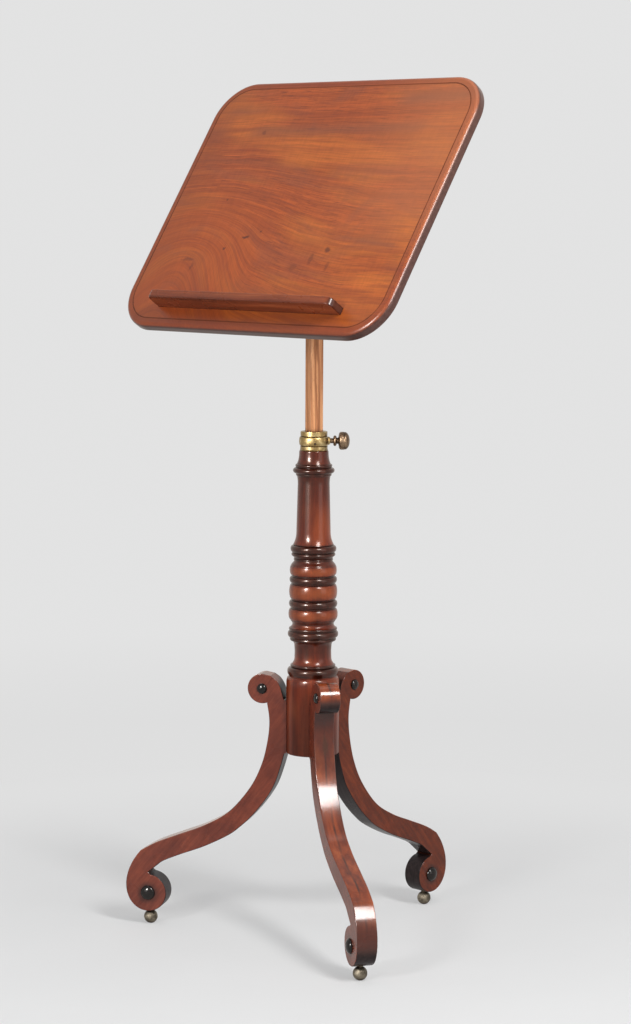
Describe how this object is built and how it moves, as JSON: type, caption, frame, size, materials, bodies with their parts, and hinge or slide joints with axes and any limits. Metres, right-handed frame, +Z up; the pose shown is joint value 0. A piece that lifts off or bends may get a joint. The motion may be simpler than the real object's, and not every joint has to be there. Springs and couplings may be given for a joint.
{
  "type": "tilting reading table",
  "caption": "Tall reading table: sloping board with a book ledge on a telescopic stem, brass clamp collar, ring-turned column and scroll legs on ball feet.",
  "frame": {"origin": "on the floor, under the middle of the whole table's outline at rest", "axes": "+Z up; -Y towards the reader; +X to the reader's right, along the tilt axis"},
  "size_m": [0.489, 0.4166, 1.173],
  "materials": {
    "column_wood": "dark red mahogany, high polish",
    "leg_wood": "red-brown mahogany, wax polish",
    "board_wood": "faded orange-brown mahogany, satin polish",
    "ledge_wood": "dark mahogany, satin polish",
    "stem_wood": "worn golden brown",
    "underside_wood": "plain brown wood, dull",
    "ebony": "black, polished",
    "dark_line": "dark inlaid line",
    "collar_brass": "polished yellow brass",
    "aged_brass": "darkened bronze-coloured brass",
    "foot_brass": "grey-brown aged brass",
    "steel": "dull old steel"
  },
  "bodies": {
    "base": {"column": "column_wood", "collar": "collar_brass", "collar_pin_front": "aged_brass", "collar_pin_back": "aged_brass", "leg_front_left": "leg_wood", "leg_front_right": "leg_wood", "leg_rear": "leg_wood", "top_boss_front_left_a": "ebony", "top_boss_front_left_b": "ebony", "top_boss_front_right_a": "ebony", "top_boss_front_right_b": "ebony", "top_boss_rear_a": "ebony", "top_boss_rear_b": "ebony", "foot_boss_front_left_a": "ebony", "foot_boss_front_left_b": "ebony", "foot_boss_front_right_a": "ebony", "foot_boss_front_right_b": "ebony", "foot_boss_rear_a": "ebony", "foot_boss_rear_b": "ebony", "foot_front_left": "foot_brass", "foot_front_right": "foot_brass", "foot_rear": "foot_brass"},
    "clamp_shoe": {"screw_shoe": "collar_brass"},
    "clamp_screw": {"thumb_screw": "aged_brass"},
    "rising_stem": {"stem": "stem_wood", "pivot_block": "underside_wood"},
    "top": {"board": "board_wood", "stringing": "dark_line", "ledge": "ledge_wood", "ledge_screw_1": "steel", "ledge_screw_2": "steel", "ledge_screw_3": "steel", "bearer_left": "underside_wood", "bearer_right": "underside_wood", "bearer_screw_1": "steel", "bearer_screw_2": "steel", "bearer_screw_3": "steel", "bearer_screw_4": "steel", "tilt_bolt": "aged_brass"},
    "nut_washer": {"tilt_washer": "aged_brass"},
    "nut": {"tilt_nut": "aged_brass"}
  },
  "joints": [
    {"name": "stem_lift", "type": "slide", "parent": "base", "child": "rising_stem", "axis": [0, 0, 1], "range_m": [-0.195, 0.06]},
    {"name": "board_tilt", "type": "hinge", "parent": "rising_stem", "child": "top", "pos_m": [0, -0.05665, 0.9842], "axis": [1, 0, 0], "range_deg": [-56.5, 23.5]},
    {"name": "clamp_travel", "type": "slide", "parent": "base", "child": "clamp_shoe", "axis": [0.7071, 0.7071, 0], "range_m": [0, 0.002]},
    {"name": "clamp_turn", "type": "hinge", "parent": "clamp_shoe", "child": "clamp_screw", "pos_m": [0.02121, -0.03544, 0.686], "axis": [0.7071, 0.7071, 0], "range_deg": [0, 720]},
    {"name": "nut_travel", "type": "slide", "parent": "top", "child": "nut_washer", "axis": [1, 0, 0], "range_m": [0, 0.001]},
    {"name": "nut_turn", "type": "hinge", "parent": "nut_washer", "child": "nut", "pos_m": [0.05, -0.05665, 0.9842], "axis": [1, 0, 0], "range_deg": [0, 288]}
  ],
  "couplings": [
    {"joint": "clamp_turn", "follows": "clamp_travel", "rad_per_m": 6283.2},
    {"joint": "nut_turn", "follows": "nut_travel", "rad_per_m": 5026.5}
  ]
}
